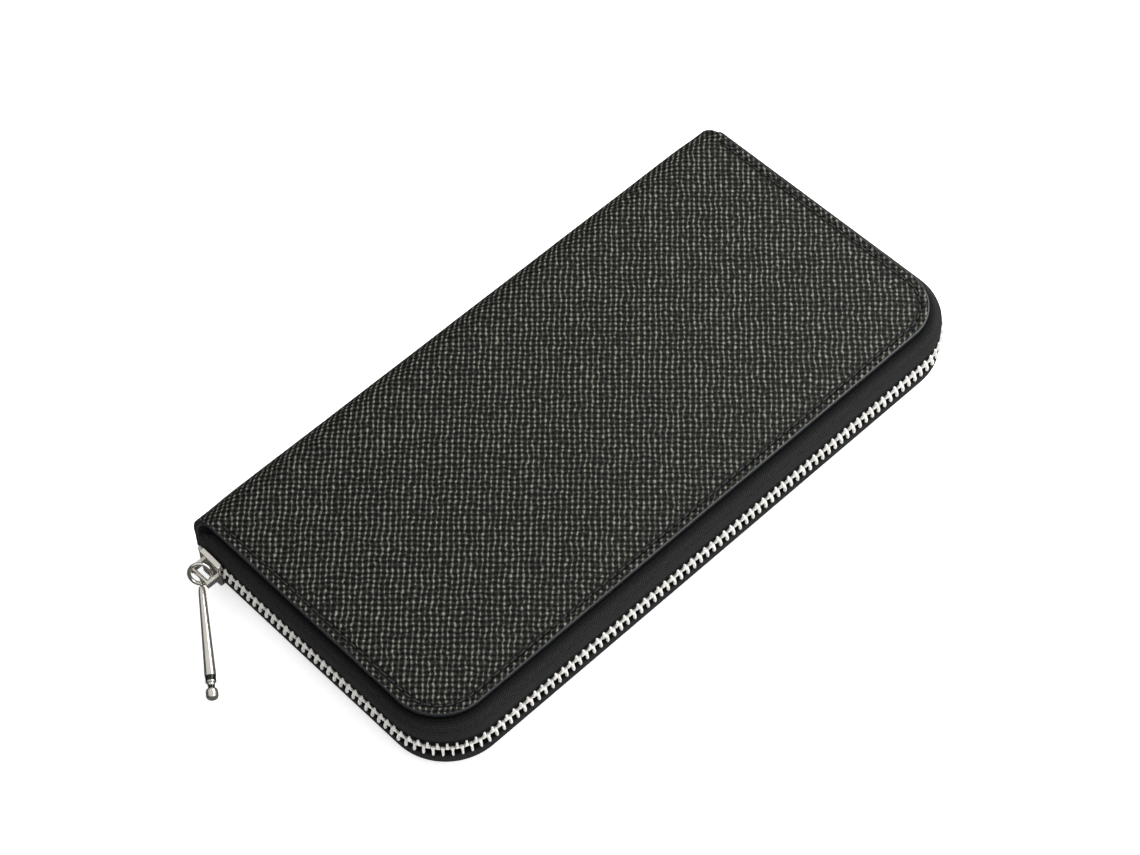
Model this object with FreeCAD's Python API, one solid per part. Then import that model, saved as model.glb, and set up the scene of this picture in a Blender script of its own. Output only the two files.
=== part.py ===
import FreeCAD, Part
import math
import os

# Zip-around long wallet, lying closed on its back cover. Millimetres.
# +X runs along the spine, the spine is at +Y, the long zip side at -Y, +Z up.
# The origin is the centre of the back cover's outer face.

Vec = FreeCAD.Vector
os.makedirs("parts", exist_ok=True)

# ---------------------------------------------------------------- driving dimensions
wallet_length = 195.0
wallet_depth = 99.0
wallet_thickness = 22.0
corner_radius = 15.0

leather = 1.2
board = 0.8
lining = 0.5
board_inset = 8.0
lining_inset = 1.0
hinge_angle = 35.0
split_gap = 0.3

stitch_inset = 2.8
stitch_pitch = 3.0
stitch_length = 2.2
stitch_width = 0.5
stitch_groove_width = 0.9
stitch_groove_depth = 0.3

chain_out_side = 2.6
chain_out_front = 3.8
tape_thickness = 0.5
tape_flange = 6.0
tape_edge_gap = 1.6
tape_bend_height = 6.6
tape_end_margin = 5.5
tooth_pitch = 2.5
tooth_width = 1.1
tooth_thickness = 2.4
tooth_reach = 3.0
tooth_overlap = 1.1

slider_length = 7.8
slider_mouth_width = 10.0
slider_tail_width = 8.8
slider_plate = 1.0
slider_lip = 0.8
slider_slot = 1.2
slider_play = 0.15
slider_rest_back = 13.0

crown_height = 3.3
crown_bar = 1.3
crown_width = 2.0
ring_mean_radius = 3.1
ring_wire = 1.1
ring_offset = 0.85
pull_length = 33.0
pull_eye_radius = 1.35
pull_eye_hole = 0.75
pull_eye_width = 1.2
pull_top_radius = 0.95
pull_low_radius = 1.6
pull_neck_radius = 0.9
pull_bead_radius = 1.7
pull_bead_length = 3.6

pocket_sheet = 0.5
pocket_inset = 5.0
card_slots = 4
card_step = 10.0
card_half_width = 88.5
card_foot = 2.5

coin_wall = 0.6
coin_gap = 1.0
coin_half_width = 84.0
coin_mouth = 17.5
coin_wall_setback = 5.0
coin_tape_upright = 4.6
coin_tape_tail = 4.5
coin_tape_thickness = 0.4
coin_tooth_pitch = 2.0
coin_tooth_width = 0.85
coin_tooth_thickness = 1.6
coin_tooth_reach = 2.0
coin_tooth_overlap = 0.55
coin_chain_margin = 14.0
coin_slider_length = 7.0
coin_slider_width = 6.0
coin_slider_tail = 5.2
coin_slider_plate = 0.6
coin_slider_lip = 0.5
coin_slider_slot = 0.9
coin_crown_height = 1.8
coin_crown_bar = 0.8
coin_crown_width = 1.4
coin_pull_length = 14.0
coin_pull_width = 3.6
coin_pull_thickness = 0.8

gusset_sheet = 0.5
gusset_depth = 17.0
gusset_flange = 4.0
gusset_front = 19.5

touch_gap = 0.05

# ---------------------------------------------------------------- worked-out places
half_length = wallet_length / 2
front_y = -wallet_depth / 2
back_y = wallet_depth / 2
mid_z = wallet_thickness / 2
spine_radius = wallet_thickness / 2
spine_y = back_y - spine_radius
cover_build = leather + board + lining
chain_x = half_length + chain_out_side
chain_y = front_y - chain_out_front


def save(shape, name):
    """Write one node as a STEP file after checking that each solid is closed."""
    assert shape.isValid(), name
    assert shape.Solids, name
    shape.exportStep("parts/" + name + ".step")


def mirrored_z(shape):
    """Mirror a shape of the back half about the wallet's middle plane."""
    return shape.mirror(Vec(0, 0, mid_z), Vec(0, 0, 1))


def box(x0, x1, y0, y1, z0, z1):
    """Block between two corners."""
    return Part.makeBox(x1 - x0, y1 - y0, z1 - z0, Vec(x0, y0, z0))


def group(shapes):
    """Several separate solids kept as one node."""
    solids = [solid for shape in shapes for solid in shape.Solids]
    return Part.makeCompound(solids)


def cover_edges(half_x, low_y, high_y, radius, z):
    """Open path of edges round three sides: left side, corner, front, corner, right side."""
    cut = radius * (1 - math.sqrt(0.5))
    start = Vec(-half_x, high_y, z)
    left = Vec(-half_x, low_y + radius, z)
    left_mid = Vec(-half_x + cut, low_y + cut, z)
    front_left = Vec(-half_x + radius, low_y, z)
    front_right = Vec(half_x - radius, low_y, z)
    right_mid = Vec(half_x - cut, low_y + cut, z)
    right = Vec(half_x, low_y + radius, z)
    end = Vec(half_x, high_y, z)
    edges = [Part.makeLine(start, left)]
    edges.append(Part.Arc(left, left_mid, front_left).toShape())
    edges.append(Part.makeLine(front_left, front_right))
    edges.append(Part.Arc(front_right, right_mid, right).toShape())
    edges.append(Part.makeLine(right, end))
    return edges


def plate(inset, high_y, z0, z1):
    """Flat sheet of the cover's outline, set in from its edge, square at the spine end."""
    half_x = half_length - inset
    edges = cover_edges(half_x, front_y + inset, high_y, max(corner_radius - inset, 2.0), z0)
    edges.append(Part.makeLine(Vec(half_x, high_y, z0), Vec(-half_x, high_y, z0)))
    return Part.Face(Part.Wire(edges)).extrude(Vec(0, 0, z1 - z0))


def band_wire(half_x, low_y, high_y, radius, thickness, z):
    """Closed outline of a strip that follows three sides of the wallet."""
    half = thickness / 2
    outer = cover_edges(half_x + half, low_y - half, high_y, radius + half, z)
    inner = cover_edges(half_x - half, low_y + half, high_y, radius - half, z)
    right = Part.makeLine(Vec(half_x + half, high_y, z), Vec(half_x - half, high_y, z))
    left = Part.makeLine(Vec(-half_x + half, high_y, z), Vec(-half_x - half, high_y, z))
    inner_back = [edge.copy() for edge in reversed(inner)]
    return Part.Wire(Part.__sortEdges__(outer + [right] + inner_back + [left]))


def band(half_x, low_y, high_y, radius, thickness, z0, z1):
    """Strip of constant section that follows three sides of the wallet."""
    wire = band_wire(half_x, low_y, high_y, radius, thickness, z0)
    return Part.Face(wire).extrude(Vec(0, 0, z1 - z0))


def arc_shell(outer, inner, from_angle, to_angle):
    """Part of the spine's round, between two angles measured from the spine's middle."""
    points = []
    for radius in (outer, inner):
        for angle in (from_angle, (from_angle + to_angle) / 2, to_angle):
            turn = math.radians(angle)
            y = spine_y + radius * math.cos(turn)
            z = mid_z + radius * math.sin(turn)
            points.append(Vec(-half_length, y, z))
    edges = [Part.Arc(points[0], points[1], points[2]).toShape()]
    edges.append(Part.makeLine(points[2], points[5]))
    edges.append(Part.Arc(points[5], points[4], points[3]).toShape())
    edges.append(Part.makeLine(points[3], points[0]))
    return Part.Face(Part.Wire(edges)).extrude(Vec(wallet_length, 0, 0))


def ribbon(points, thickness, plane, start, length):
    """Folded sheet: a thick line through points in the XZ or YZ plane, drawn out along the third axis."""
    left = []
    right = []
    last = len(points) - 1
    for index, (a, b) in enumerate(points):
        before = points[max(index - 1, 0)]
        after = points[min(index + 1, last)]
        d0 = (a - before[0], b - before[1])
        d1 = (after[0] - a, after[1] - b)
        if index == 0:
            d0 = d1
        if index == last:
            d1 = d0
        n0 = (-d0[1] / math.hypot(*d0), d0[0] / math.hypot(*d0))
        n1 = (-d1[1] / math.hypot(*d1), d1[0] / math.hypot(*d1))
        share = 1 + n0[0] * n1[0] + n0[1] * n1[1]
        offset = ((n0[0] + n1[0]) / share, (n0[1] + n1[1]) / share)
        left.append((a + offset[0] * thickness / 2, b + offset[1] * thickness / 2))
        right.append((a - offset[0] * thickness / 2, b - offset[1] * thickness / 2))
    outline = left + right[::-1]
    outline.append(outline[0])
    if plane == "xz":
        face = Part.Face(Part.makePolygon([Vec(a, start, b) for a, b in outline]))
        return face.extrude(Vec(0, length, 0))
    face = Part.Face(Part.makePolygon([Vec(start, a, b) for a, b in outline]))
    return face.extrude(Vec(length, 0, 0))


def path_frames(half_x, low_y, high_y, radius, pitch, phase):
    """Evenly spaced places round three sides: point and heading at each."""
    side = high_y - low_y - radius
    corner = radius * math.pi / 2
    front = 2 * (half_x - radius)
    total = 2 * side + 2 * corner + front
    frames = []
    for index in range(int((total - phase) / pitch) + 1):
        s = phase + index * pitch
        if s <= side:
            frames.append((-half_x, high_y - s, -90.0))
        elif s <= side + corner:
            turn = (s - side) / radius
            x = -half_x + radius - radius * math.cos(turn)
            frames.append((x, low_y + radius - radius * math.sin(turn), -90 + math.degrees(turn)))
        elif s <= side + corner + front:
            frames.append((-half_x + radius + s - side - corner, low_y, 0.0))
        elif s <= side + 2 * corner + front:
            turn = (s - side - corner - front) / radius
            x = half_x - radius + radius * math.sin(turn)
            frames.append((x, low_y + radius - radius * math.cos(turn), math.degrees(turn)))
        else:
            frames.append((half_x, low_y + radius + s - side - 2 * corner - front, 90.0))
    return frames


def placed(shape, x, y, heading):
    """Copy of a shape made along +X, turned to a heading and moved to a place."""
    copy = shape.copy()
    copy.rotate(Vec(0, 0, 0), Vec(0, 0, 1), heading)
    copy.translate(Vec(x, y, 0))
    return copy


# ---------------------------------------------------------------- covers and spine
# The cover leather is one hide: two flat covers and a round spine. It bends along two
# lines on the spine's outside, so it is split there into three pieces.
split_half_angle = math.degrees(split_gap / 2 / spine_radius)
cover_bend_angle = 90 - hinge_angle


def back_leather():
    """Flat back cover with its share of the spine's round and a sunk stitch channel."""
    flat = plate(0, spine_y, 0, leather)
    bend = arc_shell(spine_radius, spine_radius - leather, -90, -cover_bend_angle - split_half_angle)
    groove_radius = corner_radius - stitch_inset
    groove = band(half_length - stitch_inset, front_y + stitch_inset, spine_y, groove_radius,
                  stitch_groove_width, 0, stitch_groove_depth)
    return flat.fuse(bend).removeSplitter().cut(groove)


def back_stitching():
    """Lockstitches lying in the channel round three sides of the back cover."""
    low = touch_gap
    stitch = box(-stitch_length / 2, stitch_length / 2, -stitch_width / 2, stitch_width / 2,
                 low, stitch_groove_depth)
    frames = path_frames(half_length - stitch_inset, front_y + stitch_inset, spine_y - stitch_pitch / 2,
                         corner_radius - stitch_inset, stitch_pitch, 0)
    return group([placed(stitch, x, y, heading) for x, y, heading in frames])


def back_board():
    """Card stiffener glued to the inside of the cover leather."""
    return plate(board_inset, spine_y - board_inset / 3, leather, leather + board)


def back_lining():
    """Inner lining leather of the cover."""
    return plate(lining_inset, spine_y, leather + board, cover_build)


save(back_leather(), "back_cover_leather")
save(mirrored_z(back_leather()), "front_cover_leather")
save(back_stitching(), "back_cover_stitching")
save(mirrored_z(back_stitching()), "front_cover_stitching")
save(back_board(), "back_cover_board")
save(mirrored_z(back_board()), "front_cover_board")
save(back_lining(), "back_cover_lining")
save(mirrored_z(back_lining()), "front_cover_lining")

spine_leather = arc_shell(spine_radius, spine_radius - leather,
                          -cover_bend_angle + split_half_angle, cover_bend_angle - split_half_angle)
spine_lining_outer = spine_radius - leather - touch_gap
spine_lining = arc_shell(spine_lining_outer, spine_lining_outer - lining,
                         -cover_bend_angle + split_half_angle, cover_bend_angle - split_half_angle)
save(spine_leather, "spine_leather")
save(spine_lining, "spine_lining")


# ---------------------------------------------------------------- main zip
chain_radius = corner_radius + chain_out_side
tape_end_y = back_y - tape_end_margin
tape_low = mid_z - tape_bend_height
flange_high = leather + tape_thickness
flange_end_y = spine_y - lining_inset


def lower_tape():
    """Woven half tape: flange under the cover's edge, slanted wall, upright part with the teeth."""
    upright = band(chain_x, chain_y, tape_end_y, chain_radius, tape_thickness, tape_low, mid_z - tape_edge_gap)
    low_wire = band_wire(half_length - tape_thickness, front_y + tape_thickness, flange_end_y,
                         corner_radius - tape_thickness, tape_thickness, flange_high)
    high_wire = band_wire(chain_x, chain_y, flange_end_y, chain_radius, tape_thickness, tape_low)
    slant = Part.makeLoft([low_wire, high_wire], True, True)
    flange_mid = tape_flange / 2 + tape_thickness / 2
    flange = band(half_length - flange_mid, front_y + flange_mid, flange_end_y,
                  corner_radius - flange_mid, tape_flange, leather, flange_high)
    return upright.fuse(slant).fuse(flange).removeSplitter()


def tooth():
    """One metal tooth of the lower row, heading along +X: a head on two legs that clamp the tape's edge."""
    half = tooth_width / 2
    deep = tooth_thickness / 2
    edge = mid_z - tape_edge_gap
    head = box(-half, half, -deep, deep, edge, mid_z + tooth_overlap)
    leg = box(-half, half, tape_thickness / 2 + touch_gap, deep, mid_z - tooth_reach, edge)
    return head.fuse(leg).fuse(leg.mirror(Vec(0, 0, 0), Vec(0, 1, 0))).removeSplitter()


slider_back_y = back_y - slider_rest_back + slider_length / 2
post_length = 1.4
tooth_start = slider_back_y - post_length - tooth_width / 2 - 0.3


def lower_teeth(phase):
    """Row of teeth along the half tape, from the slider's post round to the bottom stop."""
    frames = path_frames(chain_x, chain_y, tooth_start, chain_radius, tooth_pitch, phase)
    return group([placed(tooth(), x, y, heading) for x, y, heading in frames])


def tape_clip(side, y_middle, half_long, z0, z1, web0, web1):
    """Metal clip pressed on the tape at one short side; side is -1 or 1."""
    deep = tooth_thickness / 2
    skin = tape_thickness / 2 + touch_gap
    outer = box(skin, deep, -half_long, half_long, z0, z1)
    inner = box(-deep, -skin, -half_long, half_long, z0, z1)
    web = box(-deep, deep, -half_long, half_long, web0, web1)
    clip = outer.fuse(inner).fuse(web).removeSplitter()
    clip.translate(Vec(side * chain_x, y_middle, 0))
    return clip


stop_half = 1.0
top_stop_y = slider_back_y + stop_half + 0.3
tape_edge = mid_z - tape_edge_gap
lower_stop = tape_clip(-1, top_stop_y, stop_half, mid_z - tooth_reach, tape_edge + 0.6,
                       tape_edge + touch_gap, tape_edge + 0.6)
bottom_stop = tape_clip(1, top_stop_y, stop_half * 1.5, mid_z - tooth_reach, mid_z + tooth_reach,
                        tape_edge + touch_gap, 2 * mid_z - tape_edge - touch_gap)
save(lower_tape(), "zip_tape_lower")
save(mirrored_z(lower_tape()), "zip_tape_upper")
save(lower_teeth(0), "zip_teeth_lower")
save(mirrored_z(lower_teeth(tooth_pitch / 2)), "zip_teeth_upper")
save(lower_stop, "zip_top_stop_lower")
save(mirrored_z(lower_stop), "zip_top_stop_upper")
save(bottom_stop, "zip_bottom_stop")


# ---------------------------------------------------------------- sliders
def slider_shell(length, mouth, tail, channel, plate_thickness, lip, slot, post_long, post_wide):
    """Slider made in its own axes: +X to the mouth, Y across the chain, +Z to the outside."""
    half = length / 2
    high = channel / 2 + plate_thickness

    def outline(shrink, past):
        points = [(-half - past, -tail / 2 + shrink), (half * 0.1, -mouth / 2 + shrink)]
        points += [(half + past, -mouth / 2 + shrink), (half + past, mouth / 2 - shrink)]
        points += [(half * 0.1, mouth / 2 - shrink), (-half - past, tail / 2 - shrink)]
        points.append(points[0])
        return points

    body = Part.Face(Part.makePolygon([Vec(a, b, -high) for a, b in outline(0, 0)]))
    body = body.extrude(Vec(0, 0, 2 * high))
    inside = Part.Face(Part.makePolygon([Vec(a, b, -channel / 2) for a, b in outline(lip, 1)]))
    body = body.cut(inside.extrude(Vec(0, 0, channel)))
    body = body.cut(box(-length, length, -mouth, mouth, -slot / 2, slot / 2))
    post = box(half - post_long, half, -post_wide / 2, post_wide / 2, -high, high)
    return body.fuse(post).removeSplitter()


def crown(length, foot_long, foot_wide, height, bar, base):
    """Bridge on the slider: two feet on the outer plate and a round bar between them."""
    half = length / 2
    top = base + height
    front = box(half - foot_long, half, -foot_wide / 2, foot_wide / 2, base, top + bar / 2)
    back = box(-half, -half + foot_long, -foot_wide / 2, foot_wide / 2, base, top + bar / 2)
    rod = Part.makeCylinder(bar / 2, length - foot_long, Vec(-half + foot_long / 2, 0, top), Vec(1, 0, 0))
    return front.fuse(back).fuse(rod).removeSplitter()


def seat(shape, origin, along, outward):
    """Place a shape made with X along and Z outward at an origin."""
    side = outward.cross(along)
    matrix = FreeCAD.Matrix(along.x, side.x, outward.x, origin.x,
                            along.y, side.y, outward.y, origin.y,
                            along.z, side.z, outward.z, origin.z, 0, 0, 0, 1)
    return shape.transformed(matrix)


channel_height = tooth_thickness + 2 * slider_play
slider_high = channel_height / 2 + slider_plate
slider_y = back_y - slider_rest_back
slider_origin = Vec(-chain_x, slider_y, mid_z)
post_width = 2 * (tape_edge_gap - 0.4)
foot_long = 1.0
slider = slider_shell(slider_length, slider_mouth_width, slider_tail_width, channel_height, slider_plate,
                      slider_lip, slider_slot, post_length, post_width)
bridge = crown(slider_length, foot_long, crown_width, crown_height, crown_bar, slider_high)
save(seat(slider, slider_origin, Vec(0, 1, 0), Vec(-1, 0, 0)), "slider_body")
save(seat(bridge, slider_origin, Vec(0, 1, 0), Vec(-1, 0, 0)), "slider_crown")


# ---------------------------------------------------------------- ring and pull
# The ring hangs loose on the crown's bar and leans; the pull's eye is closed round the
# ring's lowest point and the pull lies out to the front and down to the table.
bar_point = Vec(-chain_x - slider_high - crown_height, slider_y, mid_z)
ring_normal = Vec(-0.66, -0.62, 0.42).normalize()
ring_up = (Vec(0, 0, 1) - ring_normal * ring_normal.z).normalize()
ring_centre = bar_point + ring_up * ring_offset
eye_centre = ring_centre - ring_up * ring_mean_radius
ring = Part.makeTorus(ring_mean_radius, ring_wire / 2, ring_centre, ring_normal)
save(ring, "pull_ring")

pull_heading = math.radians(234.0)
pull_drop = math.asin((eye_centre.z - pull_bead_radius - 0.1) / pull_length)
pull_along = Vec(math.cos(pull_heading) * math.cos(pull_drop),
                 math.sin(pull_heading) * math.cos(pull_drop), -math.sin(pull_drop))
pull_side = Vec(-math.sin(pull_heading), math.cos(pull_heading), 0)


def pull_bar():
    """Turned pull, made along +Z: eye, tapered bar, groove, collar, neck and bead."""
    bead_low = pull_length - pull_bead_length
    collar = pull_neck_radius * 1.35
    profile = [(0, pull_eye_radius - 0.5), (pull_top_radius, pull_eye_radius - 0.5)]
    profile.append((pull_low_radius, bead_low - 3.4))
    profile.append((pull_neck_radius, bead_low - 2.8))
    profile.append((pull_neck_radius, bead_low - 2.0))
    profile.append((collar, bead_low - 1.8))
    profile.append((collar, bead_low - 1.0))
    profile.append((pull_neck_radius, bead_low - 0.8))
    profile.append((pull_neck_radius, bead_low))
    profile.append((pull_bead_radius - 0.3, bead_low + 0.2))
    profile.append((pull_bead_radius, bead_low + 0.8))
    profile.append((pull_bead_radius, pull_length - 1.0))
    profile.append((pull_bead_radius - 0.7, pull_length - 0.1))
    profile.append((0, pull_length))
    profile.append(profile[0])
    face = Part.Face(Part.makePolygon([Vec(r, 0, z) for r, z in profile]))
    bar = face.revolve(Vec(0, 0, 0), Vec(0, 0, 1), 360)
    eye = Part.makeCylinder(pull_eye_radius, pull_eye_width, Vec(-pull_eye_width / 2, 0, 0), Vec(1, 0, 0))
    hole = Part.makeCylinder(pull_eye_hole, pull_eye_width * 2, Vec(-pull_eye_width, 0, 0), Vec(1, 0, 0))
    return bar.fuse(eye).cut(hole).removeSplitter()


save(seat(pull_bar(), eye_centre, pull_side, pull_along), "pull_bar")


# ---------------------------------------------------------------- card pockets
pocket_back_y = spine_y - card_foot
pocket_front_y = front_y + pocket_inset
pocket_half_x = half_length - pocket_inset


def pocket_panel():
    """Full-width slip pocket panel on the cover's lining."""
    return plate(pocket_inset, pocket_back_y, cover_build, cover_build + pocket_sheet)


def card_slot(index):
    """One strip of card slots; each next strip lies on the last and starts further back."""
    low = cover_build + pocket_sheet * (index + 1)
    mouth = pocket_front_y + card_step * (index + 1)
    return box(-card_half_width, card_half_width, mouth, pocket_back_y, low, low + pocket_sheet)


save(pocket_panel(), "back_pocket_panel")
save(mirrored_z(pocket_panel()), "front_pocket_panel")
for slot_index in range(card_slots):
    save(card_slot(slot_index), "back_card_slot_" + str(slot_index + 1))
    save(mirrored_z(card_slot(slot_index)), "front_card_slot_" + str(slot_index + 1))


# ---------------------------------------------------------------- coin pocket
coin_mouth_y = front_y + coin_mouth
coin_low = mid_z - coin_gap / 2 - coin_wall
wall_reach = math.sqrt((spine_lining_outer - lining) ** 2 - (mid_z - coin_low) ** 2)
coin_back_y = spine_y + wall_reach - touch_gap
coin_wall_front = coin_mouth_y + coin_wall_setback
coin_wall_sheet = box(-coin_half_width, coin_half_width, coin_wall_front, coin_back_y,
                      coin_low, coin_low + coin_wall)
save(coin_wall_sheet, "coin_pocket_wall_back")
save(mirrored_z(coin_wall_sheet), "coin_pocket_wall_front")

seam_width = 1.5
seam_low = coin_low + coin_wall
seam = box(-coin_half_width, coin_half_width, coin_wall_front, coin_back_y, seam_low, seam_low + coin_gap)
seam = seam.cut(box(-coin_half_width + seam_width, coin_half_width - seam_width,
                    coin_wall_front - 1, coin_back_y - seam_width, seam_low, seam_low + coin_gap))
save(seam, "coin_pocket_seam")

coin_edge_gap = 0.7
coin_chain_half = coin_half_width - coin_chain_margin
coin_tape_half = coin_chain_half + coin_tape_tail
coin_tape_mid = coin_low - coin_tape_thickness / 2
coin_tape_points = [(coin_mouth_y, mid_z - coin_edge_gap), (coin_mouth_y, mid_z - coin_tape_upright)]
coin_tape_points += [(coin_wall_front, coin_tape_mid), (coin_wall_front + 5.0, coin_tape_mid)]
coin_tape = ribbon(coin_tape_points, coin_tape_thickness, "yz", -coin_tape_half, 2 * coin_tape_half)
save(coin_tape, "coin_tape_lower")
save(mirrored_z(coin_tape), "coin_tape_upper")


def coin_tooth(x_middle):
    """One small tooth of the lower coin row."""
    half = coin_tooth_width / 2
    deep = coin_tooth_thickness / 2
    edge = mid_z - coin_edge_gap
    skin = coin_tape_thickness / 2 + touch_gap
    head = box(-half, half, -deep, deep, edge, mid_z + coin_tooth_overlap)
    leg = box(-half, half, skin, deep, mid_z - coin_tooth_reach, edge)
    whole = head.fuse(leg).fuse(leg.mirror(Vec(0, 0, 0), Vec(0, 1, 0))).removeSplitter()
    return placed(whole, x_middle, coin_mouth_y, 0)


coin_slider_x = -coin_chain_half + coin_slider_length / 2
coin_post = 1.0
coin_tooth_first = -coin_chain_half + coin_post + coin_tooth_width / 2 + 0.3
coin_tooth_last = coin_chain_half - coin_tooth_pitch


def coin_teeth(phase):
    """Row of small teeth along the coin pocket's mouth."""
    count = int((coin_tooth_last - coin_tooth_first - phase) / coin_tooth_pitch) + 1
    return group([coin_tooth(coin_tooth_first + phase + i * coin_tooth_pitch) for i in range(count)])


save(coin_teeth(0), "coin_teeth_lower")
save(mirrored_z(coin_teeth(coin_tooth_pitch / 2)), "coin_teeth_upper")


def coin_stop(x_middle):
    """Clip across both coin tapes at one end of the chain."""
    deep = coin_tooth_thickness / 2
    skin = coin_tape_thickness / 2 + touch_gap
    edge = coin_edge_gap - touch_gap
    outer = box(-0.8, 0.8, -deep, -skin, mid_z - 2, mid_z + 2)
    inner = box(-0.8, 0.8, skin, deep, mid_z - 2, mid_z + 2)
    web = box(-0.8, 0.8, -deep, deep, mid_z - edge, mid_z + edge)
    return placed(outer.fuse(inner).fuse(web).removeSplitter(), x_middle, coin_mouth_y, 0)


save(coin_stop(-coin_chain_half - 1.2), "coin_stop_left")
save(coin_stop(coin_chain_half + 0.4), "coin_stop_right")

coin_channel = coin_tooth_thickness + 0.2
coin_slider_high = coin_channel / 2 + coin_slider_plate
coin_shell = slider_shell(coin_slider_length, coin_slider_width, coin_slider_tail, coin_channel,
                          coin_slider_plate, coin_slider_lip, coin_slider_slot, coin_post,
                          2 * (coin_edge_gap - 0.2))
coin_crown_long = coin_slider_length - 1.0
coin_bridge = crown(coin_crown_long, 0.8, coin_crown_width, coin_crown_height, coin_crown_bar, coin_slider_high)
coin_slider_origin = Vec(coin_slider_x, coin_mouth_y, mid_z)
save(seat(coin_shell, coin_slider_origin, Vec(-1, 0, 0), Vec(0, -1, 0)), "coin_slider_body")
save(seat(coin_bridge, coin_slider_origin, Vec(-1, 0, 0), Vec(0, -1, 0)), "coin_slider_crown")

coin_pivot_height = (coin_crown_height - coin_crown_bar / 2) / 2
coin_pivot = Vec(coin_slider_x, coin_mouth_y - coin_slider_high - coin_pivot_height, mid_z)


def coin_pull():
    """Flat pull tab made along +X; its end bar passes under the crown, which stands through its window."""
    half = coin_pull_width / 2
    deep = coin_pull_thickness / 2
    window_end = math.hypot(coin_crown_long / 2, coin_crown_height) + 0.5
    window_half = coin_crown_width / 2 + 0.3
    tab = box(-deep, coin_pull_length - deep, -deep, deep, -half, half)
    return tab.cut(box(deep, window_end, -1, 1, -window_half, window_half))


tab = coin_pull()
tab.translate(coin_pivot)
save(tab, "coin_pull")


# ---------------------------------------------------------------- side gussets
def gusset(side):
    """Folded side wall between the back cover's pocket panel and the coin pocket; side is -1 or 1."""
    half = gusset_sheet / 2
    base = cover_build + pocket_sheet + half
    over = cover_build + pocket_sheet * (card_slots + 1) + 2 * half
    top = coin_low - half
    outer = half_length - pocket_inset - 0.2
    step = card_half_width + half + 0.15
    fold = outer - gusset_depth
    points = [(outer, base), (step, base), (step, over)]
    points += [(fold, (over + top) / 2), (coin_half_width, top), (coin_half_width - gusset_flange, top)]
    placed_points = [(side * x, z) for x, z in points]
    start = front_y + gusset_front
    return ribbon(placed_points, gusset_sheet, "xz", start, pocket_back_y - start)


for side, side_name in ((-1, "left"), (1, "right")):
    save(gusset(side), "gusset_back_" + side_name)
    save(mirrored_z(gusset(side)), "gusset_front_" + side_name)
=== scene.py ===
import math

import bmesh
import bpy
import numpy as np
from mathutils import Matrix, Vector


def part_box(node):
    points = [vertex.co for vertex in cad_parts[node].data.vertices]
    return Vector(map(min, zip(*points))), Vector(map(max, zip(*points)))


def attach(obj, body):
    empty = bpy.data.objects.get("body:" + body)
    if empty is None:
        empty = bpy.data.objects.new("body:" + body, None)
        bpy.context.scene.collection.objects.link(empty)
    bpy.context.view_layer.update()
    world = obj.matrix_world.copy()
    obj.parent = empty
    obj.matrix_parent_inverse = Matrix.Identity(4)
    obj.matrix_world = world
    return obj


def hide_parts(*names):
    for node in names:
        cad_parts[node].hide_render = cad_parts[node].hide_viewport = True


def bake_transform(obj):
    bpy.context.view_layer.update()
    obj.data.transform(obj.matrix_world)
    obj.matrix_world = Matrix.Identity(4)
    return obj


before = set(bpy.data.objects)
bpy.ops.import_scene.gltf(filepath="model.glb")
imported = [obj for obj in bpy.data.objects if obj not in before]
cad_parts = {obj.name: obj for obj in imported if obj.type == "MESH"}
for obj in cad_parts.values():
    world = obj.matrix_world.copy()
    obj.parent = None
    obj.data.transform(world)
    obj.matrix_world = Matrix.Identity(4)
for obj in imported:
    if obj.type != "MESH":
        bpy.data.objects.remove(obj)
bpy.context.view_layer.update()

# ---------------------------------------------------------------------------
# Embossed hide. One piece of black leather with a cross-hatch pressed into it makes the front
# cover, the round spine and the back cover. Its cut edges are painted and slightly rounded, and
# it is sewn down round three sides in a shallow channel. Sizes are in millimetres.
# ---------------------------------------------------------------------------
mm = 0.001
half_length = 97.5
front_y = -49.5
spine_y = 38.5
spine_radius = 11.0
mid_z = 11.0
thickness = 2 * mid_z
corner_radius = 15.0
hide_thickness = 1.2
stitch_inset = 2.8
stitch_pitch = 3.0


def round_three_sides(share, half_x, low_y, radius, high_y):
    """Places on a path down the left side, round a corner, along the front and up the right side.

    share runs 0-1 on the left side, 1-2 on the corner, 2-3 on the front, 3-4 on the second corner
    and 4-5 on the right side. Each place is a corner's middle plus the radius times the outward
    direction, and the middle slides along the straight stretches.
    """
    along = [np.clip(share - stretch, 0, 1) for stretch in range(5)]
    turn = (along[1] + along[3]) * math.pi / 2
    side = high_y - low_y - radius
    middle_x = (half_x - radius) * (2 * along[2] - 1)
    middle_y = low_y + radius + side * (1 - along[0] + along[4])
    return middle_x - radius * np.cos(turn), middle_y - radius * np.sin(turn), turn


def stretch_lengths(half_x, low_y, radius, high_y):
    """Lengths of the path's five stretches."""
    side = high_y - low_y - radius
    corner = radius * math.pi / 2
    return np.array([side, corner, 2 * (half_x - radius), corner, side])


def even_shares(step, lengths, corner_step=None):
    """Shares that cut each stretch into equal steps near a wanted length."""
    steps = np.array([step, corner_step or step, step, corner_step or step, step])
    counts = np.maximum(np.round(lengths / steps), 2).astype(int)
    cuts = [stretch + np.arange(count) / count for stretch, count in enumerate(counts)]
    return np.concatenate(cuts + [[5.0]])


def share_at(distance, lengths):
    """Share of the place that is a given distance along the path."""
    return np.interp(distance, np.concatenate([[0], np.cumsum(lengths)]), np.arange(6))


def eased_step(value, low, high):
    """0 below low, 1 above high and a smooth rise between them."""
    part = np.clip((value - low) / (high - low), 0, 1)
    return part * part * (3 - 2 * part)


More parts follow.
